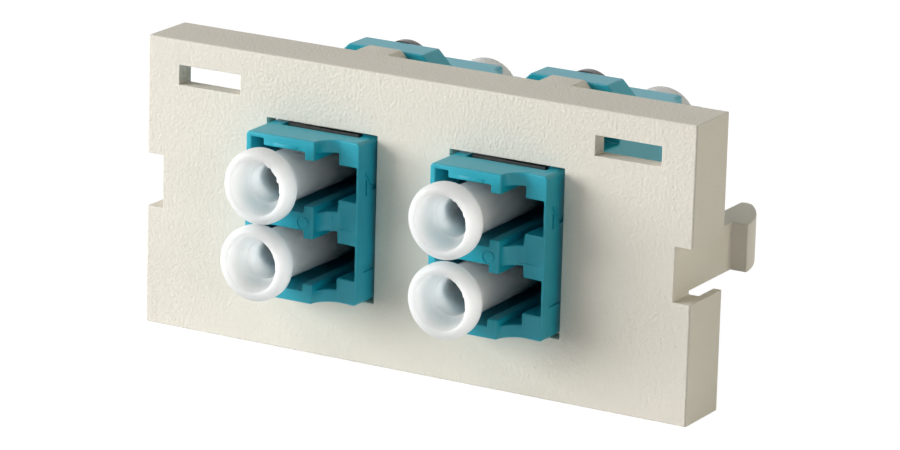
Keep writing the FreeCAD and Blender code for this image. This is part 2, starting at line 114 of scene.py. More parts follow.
# %% Wires
class Wire:
    """One value in a material's node graph."""

    def __init__(self, tree, socket=None):
        self.tree = tree
        self.socket = socket

    def node(self, kind, settings=None, output=0, **inputs):
        """Adds a node. An input's name has underscores for spaces; a number picks it by place, as in_0."""
        made = self.tree.nodes.new(kind)
        for name, value in (settings or {}).items():
            if name == "stops":
                while len(made.color_ramp.elements) < len(value):
                    made.color_ramp.elements.new(1)
                for element, (place, colour) in zip(made.color_ramp.elements, value):
                    element.position = place
                    element.color = (*colour, 1)
            else:
                setattr(made, name, value)
        for name, value in inputs.items():
            key = int(name[3:]) if name.startswith("in_") else name.replace("_", " ")
            if isinstance(value, Wire):
                self.tree.links.new(value.socket, made.inputs[key])
            else:
                made.inputs[key].default_value = value
        return Wire(self.tree, made.outputs[output])

    def math(self, operation, first, second):
        return self.node("ShaderNodeMath", {"operation": operation}, in_0=first, in_1=second)

    def __add__(self, other):
        return self.math("ADD", self, other)

    def __mul__(self, other):
        return self.math("MULTIPLY", self, other)

    def __gt__(self, other):
        return self.math("GREATER_THAN", self, other)

    __radd__ = __add__
    __rmul__ = __mul__

    def between(self, low, high):
        """0 below low, 1 above high, and smooth in between."""
        return self.node("ShaderNodeMapRange", {"interpolation_type": "SMOOTHSTEP"},
                         Value=self, From_Min=low, From_Max=high)

    def blend(self, colour, other):
        """Mixes two colours by this value."""
        return self.node("ShaderNodeMix", {"data_type": "RGBA"}, 2,
                         in_0=self, in_6=colour, in_7=other)


def new_finish(name):
    """A material, a wire that holds its Object coordinates, and its Principled shader."""
    material = bpy.data.materials.new(name)
    material.use_nodes = True
    tree = material.node_tree
    shader = tree.nodes["Principled BSDF"]
    place = Wire(tree).node("ShaderNodeTexCoord", output=3)
    return material, place, shader


def plug(wire, shader, name):
    """Joins a wire to one of a shader's sockets."""
    wire.tree.links.new(wire.socket, shader.inputs[name])


def grain(place, size, detail=2.0):
    """Fine noise whose bumps are about `size` metres across."""
    return place.node("ShaderNodeTexNoise", Vector=place, Scale=0.5 / size,
                      Detail=detail, Roughness=0.5)


def drift(cloud, dark, light):
    """A colour that wanders between two others as the cloud does."""
    return cloud.between(0.3, 0.7).blend(dark, light)


def bump(height, depth):
    """A surface normal from a height that runs from 0 to 1, where 1 stands `depth` metres proud."""
    return height.node("ShaderNodeBump", Height=height, Distance=depth)


def paint(names, material):
    """Gives CAD nodes a material without touching their meshes."""
    for name in names:
        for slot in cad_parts[name].material_slots:
            slot.material = material
    print(material.name, "on", len(names), "nodes")

# %% [markdown]
# ## Faceplate plastic
#
# The faceplate is moulded in off-white plastic, and its mould was spark-eroded: that leaves a fine sandy
# texture whose grains are about a quarter of a millimetre across. A smooth Voronoi texture gives grains of
# one size, and finer noise over it breaks them up, so that they don't look like a pattern. Both feed a
# shallow bump. The colour drifts a little over several millimetres, as it does in every moulding.

# %% Faceplate plastic
SAND_SIZE, FINE_SAND_SIZE, SAND_HEIGHT = 0.22 * MM, 0.13 * MM, 0.05 * MM

plate_finish, place, shader = new_finish("sandy_ivory")
grains = place.node("ShaderNodeTexVoronoi", {"feature": "SMOOTH_F1"},
                    Vector=place, Scale=1 / SAND_SIZE, Smoothness=0.5)
sand = 0.5 * grains + 0.5 * grain(place, FINE_SAND_SIZE, 1)
cloud = grain(place, 6 * MM)
plug(drift(cloud, (0.795, 0.755, 0.665, 1), (0.82, 0.78, 0.69, 1)), shader, "Base Color")
plug(0.46 + 0.16 * sand, shader, "Roughness")
plug(bump(sand, SAND_HEIGHT), shader, "Normal")
shader.inputs["Specular IOR Level"].default_value = 0.35

# %% [markdown]
# ## Adapter plastic
#
# The adapters are satin aqua, all of one moulding: the colour drifts a little, and a very fine grain
# breaks up the shine. The marks that the mould has left on them are shapes, not finishes, so they are cut
# for real further down.

# %% Adapter plastic
SATIN_SIZE, SATIN_HEIGHT = 0.12 * MM, 0.003 * MM

aqua_finish, place, shader = new_finish("satin_aqua")
fine = grain(place, SATIN_SIZE)
cloud = grain(place, 3 * MM)
plug(drift(cloud, (0.008, 0.375, 0.49, 1), (0.010, 0.41, 0.53, 1)), shader, "Base Color")
plug(0.30 + 0.1 * fine, shader, "Roughness")
plug(bump(fine, SATIN_HEIGHT), shader, "Normal")

# %% [markdown]
# ## Cap plastic
#
# The dust caps are soft, unfilled plastic, and light that enters them wanders several millimetres before
# it comes out. That is why their mouths look so even and why the bore is bright from within. A paler
# colour would only look like chalk, so the shader's subsurface scattering does it, with a free path of
# several millimetres, longer than the wall is thick, so that the light comes right through. The surface
# is smooth but dull, because such plastic is a little waxy.

# %% Cap plastic
LIGHT_PATH = 8.0 * MM

milky_finish, place, shader = new_finish("milky_soft_plastic")
cloud = grain(place, 1.2 * MM)
plug(drift(cloud, (0.97, 0.97, 0.96, 1), (0.98, 0.98, 0.97, 1)), shader, "Base Color")
plug(0.42 + 0.08 * cloud, shader, "Roughness")
shader.inputs["Subsurface Weight"].default_value = 1.0
shader.inputs["Subsurface Radius"].default_value = (1.0, 1.0, 1.0)
shader.inputs["Subsurface Scale"].default_value = LIGHT_PATH
shader.inputs["Specular IOR Level"].default_value = 0.3

# %% [markdown]
# ## Ceramic and steel
#
# The alignment sleeves inside are polished zirconia, a dense cream ceramic. The spring clips that hold the
# adapters are rolled sheet, so their grain is stretched along the strip. Their colour is nearly black,
# which
# is painted shade: the clips show only in the dark pocket above each adapter. The screws are dark plated
# steel. None of them shows much, but each gets a finish of its own, because a part is seen from every side
# once it is taken apart.

# %% Sleeve ceramic
ceramic_finish, place, shader = new_finish("polished_zirconia")
cloud = grain(place, 1.5 * MM)
plug(cloud.blend((0.86, 0.84, 0.78, 1), (0.90, 0.88, 0.83, 1)), shader, "Base Color")
plug(0.16 + 0.08 * cloud, shader, "Roughness")

# %% Spring steel
spring_finish_with_painted_shade, place, shader = new_finish("rolled_spring_steel_with_painted_shade")
shader.inputs["Metallic"].default_value = 1.0
strip = place.node("ShaderNodeMapping", Vector=place, Scale=(1, 1, 0.15))
rolled = grain(strip, 0.08 * MM, 3)
# The colour is kept near black: this is painted shade, because the clip shows only in the dark pocket above
# the housing.
plug(rolled.blend((0.07, 0.075, 0.075, 1), (0.12, 0.125, 0.12, 1)), shader, "Base Color")
plug(0.42 + 0.2 * rolled, shader, "Roughness")

# %% Screw steel
screw_finish, place, shader = new_finish("dark_screw_steel")
shader.inputs["Metallic"].default_value = 1.0
worn = grain(place, 0.3 * MM, 3)
plug(worn.blend((0.035, 0.033, 0.032, 1), (0.07, 0.066, 0.064, 1)), shader, "Base Color")
plug(0.2 + 0.14 * worn, shader, "Roughness")

# %% Give every node its finish
def ending_in(word):
    """The CAD nodes whose names end in this word."""
    return [name for name in nodes if name.endswith(word)]


for word, material in (("faceplate", plate_finish), ("housing", aqua_finish), ("cap", milky_finish),
                       ("sleeve", ceramic_finish), ("clip", spring_finish_with_painted_shade), ("screw", screw_finish)):
    paint(ending_in(word), material)

# %% [markdown]
# ## Working as by hand
#
# Blender's modelling operators act on whatever is selected, and the frame's nodes arrive selected. So each
# step here starts by dropping the old selection, and picks its own faces or edges by where they lie. These
# few helpers do only that: drop the selection, take one piece into edit mode, and hand a finished piece
# over to the frame with the body it moves with and the finish it wears.

# %% Helpers for modelling
def drop_selection():
    if bpy.context.object and bpy.context.object.mode != "OBJECT":
        bpy.ops.object.mode_set(mode="OBJECT")
    bpy.ops.object.select_all(action="DESELECT")


def take(piece):
    """Makes this piece the only selected one."""
    drop_selection()
    piece.select_set(True)
    bpy.context.view_layer.objects.active = piece


def edit_all(piece):
    """Takes a piece into edit mode with its whole mesh selected."""
    take(piece)
    bpy.ops.object.mode_set(mode="EDIT")
    bpy.ops.mesh.select_all(action="SELECT")


def settle(piece):
    """Moves a piece's place, turn and size into its mesh."""
    take(piece)
    bpy.ops.object.transform_apply(location=True, rotation=True, scale=True)


def hand_over(piece, body, slot, material, *nodes):
    """The piece moves with a body, wears a finish, and stands for the CAD nodes named."""
    settle(piece)
    piece.data.materials.clear()
    piece.data.materials.append(material)
    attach(piece, body)
    if nodes:
        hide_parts(*nodes)


def apply_modifier(piece, kind, **settings):
    """Adds a modifier with these settings, and makes its result the piece's mesh."""
    take(piece)
    modifier = piece.modifiers.new(kind.lower(), kind)
    for name, value in settings.items():
        setattr(modifier, name, value)
    bpy.ops.object.modifier_apply(modifier=modifier.name)


def copy_of(piece, name):
    """A new piece with its own copy of this one's mesh."""
    copied = bpy.data.objects.new(name, piece.data.copy())
    bpy.context.scene.collection.objects.link(copied)
    return copied


def copy_of_node(node, name):
    """A piece that starts as a CAD node's shape, with its loose triangles merged and flat ones joined.

    The stored normals belong to the old edges, so they are dropped; finish_shading makes new ones.
    """
    piece = copy_of(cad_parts[node], name)
    edit_all(piece)
    bpy.ops.mesh.remove_doubles(threshold=0.001 * MM)
    bpy.ops.mesh.dissolve_limited(angle_limit=math.radians(1))
    bpy.ops.object.mode_set(mode="OBJECT")
    bpy.ops.mesh.customdata_custom_splitnormals_clear()
    return piece


def report(piece):
    print(f"{piece.name}: {len(piece.data.vertices)} points, {len(piece.data.polygons)} faces")

# %% Rounding edges
SHARP_ANGLE = math.radians(35)


def pick_sharp_edges(piece, wanted):
    """Selects the sharp edges that wanted(one end, other end) picks, and counts them."""
    take(piece)
    bpy.ops.object.mode_set(mode="EDIT")
    bpy.ops.mesh.select_mode(type="EDGE")
    bpy.ops.mesh.select_all(action="DESELECT")
    bpy.ops.mesh.edges_select_sharp(sharpness=SHARP_ANGLE)
    bpy.ops.object.mode_set(mode="OBJECT")
    points = piece.data.vertices
    picked = {edge.index for edge in piece.data.edges
              if edge.select and wanted(*(points[index].co for index in edge.vertices))}
    for part in (points, piece.data.edges, piece.data.polygons):
        part.foreach_set("select", [False] * len(part))
    for index in picked:
        piece.data.edges[index].select = True
    return len(picked)


def round_edges(piece, size, wanted=lambda one, other: True):
    """Bevels the sharp edges that are wanted, in two steps each."""
    count = pick_sharp_edges(piece, wanted)
    bpy.ops.object.mode_set(mode="EDIT")
    bpy.ops.mesh.bevel(offset=size, segments=2, affect="EDGES", clamp_overlap=False)
    bpy.ops.object.mode_set(mode="OBJECT")
    return count


def smooth_up_to(piece, degrees):
    """Shades a piece smooth, except over edges that are sharper than this."""
    take(piece)
    bpy.ops.object.shade_smooth_by_angle(angle=math.radians(degrees))


def finish_shading(piece):
    """Smooth over the rounded edges, with flat faces kept flat and many-sided ones cut into triangles."""
    apply_modifier(piece, "TRIANGULATE", min_vertices=5)
    smooth_up_to(piece, 50)
    apply_modifier(piece, "WEIGHTED_NORMAL", keep_sharp=True)

# %% [markdown]
# ## Softening the housings
#
# A mould never leaves a knife edge: steel that sharp chips, and plastic won't fill it. Each edge of the
# aqua housings is therefore rounded by about a tenth of a millimetre, and those rounded edges are what
# catches the light as thin bright lines. The form is already right in the frame, so modelling it afresh
# would gain nothing. A copy of each housing has its sharp edges bevelled instead. The two halves meet
# flush, so the edges round the seam stay as they are. The Weighted Normal modifier keeps the big faces
# flat.

# %% Housings with moulded edges
EDGE_ROUND = 0.12 * MM
ADAPTER_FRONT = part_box("right_front_housing")[0].y
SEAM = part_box("right_front_housing")[1].y
BODY_HALF_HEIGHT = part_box("right_rear_housing")[1].z
NEAR = 0.02 * MM


def off_the_seam(one, other):
    """False only for an edge that lies in the seam where the two halves' bodies meet."""
    in_plane = abs(one.y - SEAM) < NEAR and abs(other.y - SEAM) < NEAR
    on_body = max(abs(one.z), abs(other.z)) < BODY_HALF_HEIGHT + NEAR
    return not (in_plane and (on_body or one.z * other.z < 0))


housings = {}
for node in ending_in("housing"):
    housings[node] = copy_of_node(node, node + "_moulded")
    print(round_edges(housings[node], EDGE_ROUND, off_the_seam), "edges rounded on", node)

# %% [markdown]
# ## Port numbers
#
# Each port of an adapter is marked on the side of the housing, with a character that lies on its side.
# Here they are the plain numbers 1 and 2. A mark this small could be drawn as a bump, but its walls are
# steep and fill with shade, so it is cut for real: a text object gets its thickness, becomes a mesh, is
# turned on to the side wall, and a Boolean takes it away from the housing.

# %% Port numbers
NUMBER_HEIGHT = 2.2 * MM
NUMBER_WIDENED = 1.45
NUMBER_DEPTH = 0.12 * MM
NUMBER_FROM_FRONT = 2.5 * MM
NUMBERS_UP = {"2": 3.1 * MM, "1": -3.8 * MM}
DIGIT_SHARE = 0.72
on_the_side = Matrix(((0, 0, 1), (0, 1, 0), (-1, 0, 0))).to_4x4()


def port_number(digit, side_x):
    """A solid number that stands through the side wall's face.

    A digit fills only a share of its font's size, so the size is set larger than the digit.
    """
    drop_selection()
    bpy.ops.object.text_add()
    number = bpy.context.object
    number.data.body = digit
    number.data.align_x = "CENTER"
    number.data.size = NUMBER_HEIGHT / DIGIT_SHARE
    number.data.extrude = NUMBER_DEPTH
    take(number)
    bpy.ops.object.convert(target="MESH")
    number = bpy.context.object
    to_the_wall = Matrix.Translation((side_x, ADAPTER_FRONT + NUMBER_FROM_FRONT, NUMBERS_UP[digit]))
    wide = Matrix.Diagonal((NUMBER_WIDENED, 1, 1, 1))
    number.matrix_world = to_the_wall @ on_the_side @ wide
    settle(number)
    edit_all(number)
    bpy.ops.mesh.remove_doubles(threshold=0.0001 * MM)
    bpy.ops.mesh.normals_make_consistent(inside=False)
    bpy.ops.object.mode_set(mode="OBJECT")
    return number


def cut_or_add(piece, operation, other):
    """Takes another piece away from this one or joins it on, and uses it up."""
    apply_modifier(piece, "BOOLEAN", operation=operation, object=other, solver="MANIFOLD")
    bpy.data.objects.remove(other)


FRONT_HOUSINGS = [node for node in housings if "front" in node]
for node in FRONT_HOUSINGS:
    for digit in NUMBERS_UP:
        cut_or_add(housings[node], "DIFFERENCE", port_number(digit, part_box(node)[1].x))
    report(housings[node])

# %% [markdown]
# ## Marks of the mould
#
# When the mould opens, pins push the part out, and one of them has pressed a ring into the bridge between
# the two ports. A low land stands on the wall above the upper port, and a loose insert has left a shallow
# rectangle in the scoop beside the bridge. All three are a few hundredths of a millimetre. The ring is
# turned from four rings that close on themselves, and cut; the land is a block with its edges bevelled,
# and added. The rectangle lies on a curved face and has to follow it. So a block loses what it shares
# with a copy of the housing that is moved back by the rectangle's depth, and what is left reaches just
# that deep everywhere. The top wall also has a pocket in front of the spring clip's tab, which shows as a
# dark gap where the adapter passes through the plate: another bevelled block, cut as well.

# %% Turning a form
def lathe(name, rings, steps):
    """Extrudes a circle about the Y axis from ring to ring, and closes both its ends."""
    drop_selection()
    radius, depth = rings[0]
    bpy.ops.mesh.primitive_circle_add(vertices=steps, radius=radius, location=(0, depth, 0),
                                      rotation=(math.pi / 2, 0, 0))
    piece = bpy.context.object
    piece.name = name
    bpy.ops.object.mode_set(mode="EDIT")
    for next_radius, next_depth in rings[1:]:
        bpy.ops.mesh.extrude_edges_move(TRANSFORM_OT_translate={"value": (0, next_depth - depth, 0)})
        scale = next_radius / radius
        bpy.ops.transform.resize(value=(scale, 1, scale), center_override=(0, next_depth, 0))
        radius, depth = next_radius, next_depth
    bpy.ops.mesh.select_all(action="SELECT")
    bpy.ops.mesh.remove_doubles(threshold=0.0001 * MM)
    bpy.ops.mesh.fill_holes(sides=0)
    bpy.ops.mesh.normals_make_consistent(inside=False)
    bpy.ops.object.mode_set(mode="OBJECT")
    return piece

# %% Ejector ring
PIN_X, PIN_Z = 0.62 * MM, -0.06 * MM
PIN_INSIDE, PIN_OUTSIDE, PIN_DEPTH = 0.43 * MM, 0.52 * MM, 0.04 * MM
PIN_STEPS = 48


def ejector_ring(middle_x):
    rings = [(PIN_INSIDE, -PIN_DEPTH), (PIN_OUTSIDE, -PIN_DEPTH), (PIN_OUTSIDE, PIN_DEPTH),
             (PIN_INSIDE, PIN_DEPTH), (PIN_INSIDE, -PIN_DEPTH)]
    ring = lathe("ejector_ring", rings, PIN_STEPS)
    ring.location = (middle_x + PIN_X, ADAPTER_FRONT, PIN_Z)
    settle(ring)
    return ring

# %% Land and clip pocket
LAND_X, LAND_Z = (-2.1 * MM, -0.02 * MM), (5.62 * MM, 5.90 * MM)
LAND_RISE, LAND_ROUND = 0.04 * MM, 0.02 * MM
POCKET_X, POCKET_Y = (-3.35 * MM, 3.65 * MM), (-0.5 * MM, 0.6 * MM)
POCKET_DEPTH, POCKET_OPEN, POCKET_ROUND = 0.6 * MM, 1 * MM, 0.15 * MM


def block_between(low, high, bevel=0):
    """A block between two corners, with its edges rounded if a bevel is given."""
    drop_selection()
    bpy.ops.mesh.primitive_cube_add(size=1, location=(low + high) / 2, scale=high - low)
    block = bpy.context.object
    settle(block)
    if bevel:
        edit_all(block)
        bpy.ops.mesh.bevel(offset=bevel, segments=2, affect="EDGES")
        bpy.ops.object.mode_set(mode="OBJECT")
    return block


def top_land(middle_x):
    low = Vector((middle_x + LAND_X[0], ADAPTER_FRONT - LAND_RISE, LAND_Z[0]))
    high = Vector((middle_x + LAND_X[1], ADAPTER_FRONT + LAND_RISE, LAND_Z[1]))
    return block_between(low, high, LAND_ROUND)


def clip_pocket(middle_x):
    low = Vector((middle_x + POCKET_X[0], POCKET_Y[0], BODY_HALF_HEIGHT - POCKET_DEPTH))
    high = Vector((middle_x + POCKET_X[1], POCKET_Y[1], BODY_HALF_HEIGHT + POCKET_OPEN))
    return block_between(low, high, POCKET_ROUND)

# %% Insert mark
INSERT_X, INSERT_Z = (2.4 * MM, 4.3 * MM), (-0.6 * MM, 0.5 * MM)
INSERT_Y, INSERT_DEPTH = (-1 * MM, 2.5 * MM), 0.05 * MM


def middle_of(node):
    """Where a CAD node's middle lies from left to right."""
    low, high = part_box(node)
    return (low.x + high.x) / 2


def insert_mark(middle_x):
    """The skin is taken from the right adapter, and moved to the adapter it is for."""
    home = housings["right_front_housing"]
    home_x = middle_of("right_front_housing")
    low = Vector((home_x + INSERT_X[0], ADAPTER_FRONT + INSERT_Y[0], INSERT_Z[0]))
    high = Vector((home_x + INSERT_X[1], ADAPTER_FRONT + INSERT_Y[1], INSERT_Z[1]))
    skin = block_between(low, high)
    moved_back = copy_of(home, "moved_back")
    moved_back.location.y = INSERT_DEPTH
    settle(moved_back)
    cut_or_add(skin, "DIFFERENCE", moved_back)
    skin.location.x = middle_x - home_x
    settle(skin)
    return skin

# %% Put the marks on the front housings
for node in FRONT_HOUSINGS:
    middle_x = middle_of(node)
    for operation, mark in (("DIFFERENCE", insert_mark(middle_x)),
                            ("DIFFERENCE", ejector_ring(middle_x)),
                            ("DIFFERENCE", clip_pocket(middle_x)),
                            ("UNION", top_land(middle_x))):
        cut_or_add(housings[node], operation, mark)
    report(housings[node])

# %% Finished housings
for node, housing in housings.items():
    finish_shading(housing)
    hand_over(housing, "module", "adapter_plastic", aqua_finish, node)
    report(housing)

# %% [markdown]
# ## The faceplate's edges
#
# The faceplate's front edge is crisp, with a rounding of less than a fifth of a millimetre, while the
# frame's solid has a larger one that is easier to machine. The points of that rounding form rings, so the
# copy only needs each of them drawn out towards the true corner by the same share, on every side at once.
# The latches' tips are blunter than a machined edge too, so their last points are drawn in a little. After
# that the slots, openings and latches get their own small rounding, as the housings did.

# %% Faceplate with moulded edges
PLATE_HALF_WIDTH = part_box("faceplate")[1].x
PLATE_HALF_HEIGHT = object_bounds()[1][2]
FRAME_ROUND = 0.35 * MM
FRAME_ROUND_END = FRAME_ROUND + 0.002 * MM
FRONT_ROUND = 0.17 * MM
PLATE_EDGE_ROUND = 0.07 * MM
LATCH_TIP = 15.0 * MM
LATCH_TIP_BLUNTER = 0.4


def crisp_corner(place, limit):
    """Draws a place within the frame's rounding out towards the edge."""
    inside = limit - abs(place)
    if inside > FRAME_ROUND_END:
        return place
    return math.copysign(limit - inside * FRONT_ROUND / FRAME_ROUND, place)


faceplate = copy_of_node("faceplate", "faceplate_moulded")
moved = 0
for point in faceplate.data.vertices:
    if point.co.y < FRAME_ROUND_END:
        point.co.x = crisp_corner(point.co.x, PLATE_HALF_WIDTH)
        point.co.z = crisp_corner(point.co.z, PLATE_HALF_HEIGHT)
        point.co.y *= FRONT_ROUND / FRAME_ROUND
        moved += 1
    if point.co.y > LATCH_TIP:
        point.co.y = LATCH_TIP + (point.co.y - LATCH_TIP) * LATCH_TIP_BLUNTER
print(moved, "points drawn out to a crisp front edge")
print(round_edges(faceplate, PLATE_EDGE_ROUND), "edges rounded")
finish_shading(faceplate)
hand_over(faceplate, "module", "bezel_plastic", plate_finish, "faceplate")
report(faceplate)

# %% [markdown]
# ## The dust caps
#
# A dust cap is one soft moulding: a tube that slips over the port's sleeve holder, and a flared mouth
# with a thick rolled rim to pull it by. A form with one axis could be spun from a profile, or sculpted
# from a cylinder. Here a circle is extruded ring by ring, which is how one would draw it by hand, and the
# rings' radii and depths come from a few sizes and three elliptical arcs. The smooth arcs matter, because
# the milky plastic shows the slightest facet.

# %% The cap's profile
low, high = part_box("left_upper_front_cap")
CAP_LENGTH = high.y - low.y
CAP_RADIUS = (high.x - low.x) / 2
SHANK = 2.05 * MM
BORE = 1.48 * MM
MOUTH = 2.20 * MM
THROAT_DEPTH = 1.85 * MM
THROAT_ROUND = 0.07 * MM
MIDDLE_DEPTH = 6 * MM
BORE_START = 3.4 * MM
WEB_DEPTH = 11.14 * MM
WEB = 1.0 * MM
POLE = 0.05 * MM
BOWL_DEPTH = 0.16 * MM
END_ROUND, END_CORNER, END_BEVEL = 0.2 * MM, 0.05 * MM, 0.12 * MM
ROLL_RADIUS, ROLL_DEPTH = 0.52 * MM, 0.62 * MM
BAND_END = 1.20 * MM
FLARE_END = 2.95 * MM


def arc(radius, depth, reach, rise, start, end, steps):
    """Rings along an ellipse about (radius, depth). 0 degrees points outwards, and 90 deeper in."""
    turns = [math.radians(start + (end - start) * step / steps) for step in range(steps + 1)]
    return [(radius + reach * math.cos(turn), depth + rise * math.sin(turn)) for turn in turns]


def flare(start, end, wide, narrow, steps):
    """Rings that ease from one radius to another, as a bell's side does."""
    parts = [step / steps for step in range(steps + 1)]
    return [(narrow + (wide - narrow) * (1 + math.cos(math.pi * part ** 0.9)) / 2,
             start + (end - start) * part) for part in parts]


def cap_rings():
    """From the web, out of the bore, round the mouth, along the outside, and in to the web's other face."""
    bowl_side = MOUTH - BORE - THROAT_ROUND
    roll_middle = CAP_RADIUS - ROLL_RADIUS
    rings = [(POLE, WEB_DEPTH), (BORE, WEB_DEPTH), (BORE, MIDDLE_DEPTH), (BORE, BORE_START)]
    rings += arc(BORE + THROAT_ROUND, THROAT_DEPTH + 2 * THROAT_ROUND, THROAT_ROUND, 2 * THROAT_ROUND,
                 180, 270, 4)
    rings += arc(BORE + THROAT_ROUND, BOWL_DEPTH, bowl_side, THROAT_DEPTH - BOWL_DEPTH, 80, 0, 14)
    rings += [(MOUTH + 0.01 * MM, 0.08 * MM), (MOUTH + 0.05 * MM, 0.05 * MM)]
    rings += arc(roll_middle, ROLL_DEPTH, ROLL_RADIUS, ROLL_DEPTH, -90, 0, 12)
    rings += [(CAP_RADIUS, (ROLL_DEPTH + BAND_END) / 2)]
    rings += flare(BAND_END, FLARE_END, CAP_RADIUS, SHANK, 16)
    return rings + [(SHANK, MIDDLE_DEPTH), (SHANK, CAP_LENGTH - END_ROUND),
                    (SHANK - END_CORNER, CAP_LENGTH - END_CORNER), (SHANK - END_ROUND, CAP_LENGTH),
                    (BORE + END_BEVEL, CAP_LENGTH), (BORE, CAP_LENGTH - END_BEVEL),
                    (BORE, WEB_DEPTH + WEB), (POLE, WEB_DEPTH + WEB)]


rings = cap_rings()
print("the cap's profile has", len(rings), "rings, and its widest is",
      round(max(radius for radius, depth in rings) * 2 / MM, 2), "mm across")

# %% One cap, ring by ring
CAP_STEPS = 112

cap_master = lathe("cap_master", rings, CAP_STEPS)
settle(cap_master)
report(cap_master)

# %% [markdown]
# ## Torn flash at the mouth
#
# The soft plastic tears a little where the mould's core pulls out of the mouth, so part of the mouth's
# inner edge is ragged. It could be painted on with a bump, but it shows against the dark bore, so it has
# to be shape. Each point of the mouth's edge moves inwards by a few hundredths of a millimetre, by an
# uneven sum of waves that fades out away from the torn place.

# %% Ragged mouth edge
EDGE_INSIDE, EDGE_OUTSIDE, EDGE_DEPTH = MOUTH - 0.01 * MM, MOUTH + 0.06 * MM, 0.2 * MM
TEAR_SPREAD = 0.9


def tear_mouth(cap, middle, reach):
    """Moves the mouth's edge inwards near the angle `middle`, by up to about `reach`."""
    torn = 0
    for point in cap.data.vertices:
        across = Vector((point.co.x, point.co.z))
        if point.co.y > EDGE_DEPTH or not EDGE_INSIDE < across.length < EDGE_OUTSIDE:
            continue
        turn = math.atan2(across.y, across.x)
        away = math.remainder(turn - middle, 2 * math.pi) / TEAR_SPREAD
        if abs(away) >= 1:
            continue
        waves = math.sin(19 * turn) + 0.8 * math.sin(31 * turn + 1) + 0.5 * math.sin(47 * turn + 2)
        inwards = reach * (1 - away * away) * max(0.0, 0.35 + 0.35 * waves)
        across *= 1 - inwards / across.length
        point.co.x, point.co.z = across
        torn += 1
    return torn

# %% [markdown]
# ## Eight caps in their ports
#
# One finished cap is copied into the eight ports, each copy with its own mesh, and turned round for the
# rear ones. A cap's soft socket sits loosely on its holder, so no two stand quite alike. The frame has
# them all straight and equally deep. Here the front ones lean by a fraction of a degree and stand a
# little further in or out, each within the slack that its port leaves it.

# %% Place the caps
# out: how much further it stands out, in mm; up and left: how far it leans, in degrees;
# torn: where round the mouth it is torn, in radians; reach: how far in the tear goes, in mm
CAP_POSES = {
    "left_upper_front_cap": {"out": -0.10, "up": -0.2, "left": 0.0, "torn": 0.5, "reach": 0.14},
    "left_lower_front_cap": {"out": 0.28, "up": 0.8, "left": 0.1, "torn": -0.2, "reach": 0.05},
    "right_upper_front_cap": {"out": 0.00, "up": -0.4, "left": 0.0, "torn": 0.6, "reach": 0.08},
    "right_lower_front_cap": {"out": -0.25, "up": -0.7, "left": 0.0, "torn": 0.4, "reach": 0.07},
}
STRAIGHT = {"out": 0.0, "up": 0.0, "left": 0.0, "torn": 2.0, "reach": 0.05}
SEAT_FROM_END = 1.5 * MM


def place_cap(node):
    """A cap leans about its seat, a point on its axis near its inner end."""
    low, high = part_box(node)
    front = "front" in node
    inwards = 1 if front else -1
    pose = CAP_POSES.get(node, STRAIGHT)
    cap = copy_of(cap_master, node + "_moulded")
    torn = tear_mouth(cap, pose["torn"], pose["reach"] * MM)
    rim = Vector(((low.x + high.x) / 2, low.y if front else high.y, (low.z + high.z) / 2))
    turn = Matrix.Identity(4) if front else Matrix.Rotation(math.pi, 4, "X")
    seat = rim + Vector((0, CAP_LENGTH - SEAT_FROM_END, 0)) * inwards
    lean = Matrix.Rotation(math.radians(-pose["up"]), 4, "X") @ Matrix.Rotation(
        math.radians(-pose["left"]), 4, "Z")
    outwards = Matrix.Translation((0, -inwards * pose["out"] * MM, 0))
    cap.matrix_world = (outwards @ Matrix.Translation(seat) @ lean @ Matrix.Translation(-seat)
                        @ Matrix.Translation(rim) @ turn)
    hand_over(cap, node, "cap_plastic", milky_finish, node)
    smooth_up_to(cap, 40)
    return torn


for node in ending_in("cap"):
    print(node, "placed, with", place_cap(node), "torn points")
bpy.data.objects.remove(cap_master)

# %% [markdown]
# ## Screws
#
# The four screws that hold the adapters' flanges are dark pan heads with a cross recess, and they cut
# their own thread in the faceplate's bosses. The head's dome and the shank are turned from rings, as the
# caps are. The thread could be a Screw modifier on a profile, but the shank is already a stack of rings,
# so pushing each point in by its place along a helix is simpler. Two crossed wedges cut the recess with a
# Boolean.

# %% A screw's rings
HEAD_ROUND = 1.3 * MM
THREAD_PITCH = 0.9 * MM
THREAD_DEPTH = 0.2 * MM
RINGS_PER_TURN = 8
SCREW_POLE = 0.02 * MM
HEAD_BEVEL = 0.1 * MM


def screw_rings(head, shank, height, length):
    """From the head's top, at depth 0, to the shank's tip."""
    rings = [(SCREW_POLE, 0), (head * 0.3, 0.01 * MM)]
    rings += arc(head - HEAD_ROUND, HEAD_ROUND, HEAD_ROUND, HEAD_ROUND * 0.98, -80, 0, 9)
    rings += [(head, height - HEAD_BEVEL), (head - HEAD_BEVEL, height), (shank, height)]
    count = round(length / THREAD_PITCH * RINGS_PER_TURN)
    rings += [(shank, height + length * step / count) for step in range(1, count)]
    return rings + [(shank * 0.7, height + length), (SCREW_POLE, height + length)]


def cut_thread(screw, shank, start, end):
    """Pushes the shank's points in between two depths, each by its place along the helix."""
    for point in screw.data.vertices:
        radius = math.hypot(point.co.x, point.co.z)
        if radius < shank * 0.95 or radius > shank * 1.05 or not start < point.co.y < end:
            continue
        turn = math.atan2(point.co.z, point.co.x) / (2 * math.pi)
        along = (point.co.y / THREAD_PITCH - turn) % 1.0
        valley = min(1.0, abs(along - 0.5) * 4)
        smaller = 1 - THREAD_DEPTH * valley / radius
        point.co.x *= smaller
        point.co.z *= smaller

# %% The cross recess
RECESS_WIDTH, RECESS_REACH, RECESS_DEPTH = 0.5 * MM, 1.15 * MM, 0.9 * MM
RECESS_TAPER = 0.45


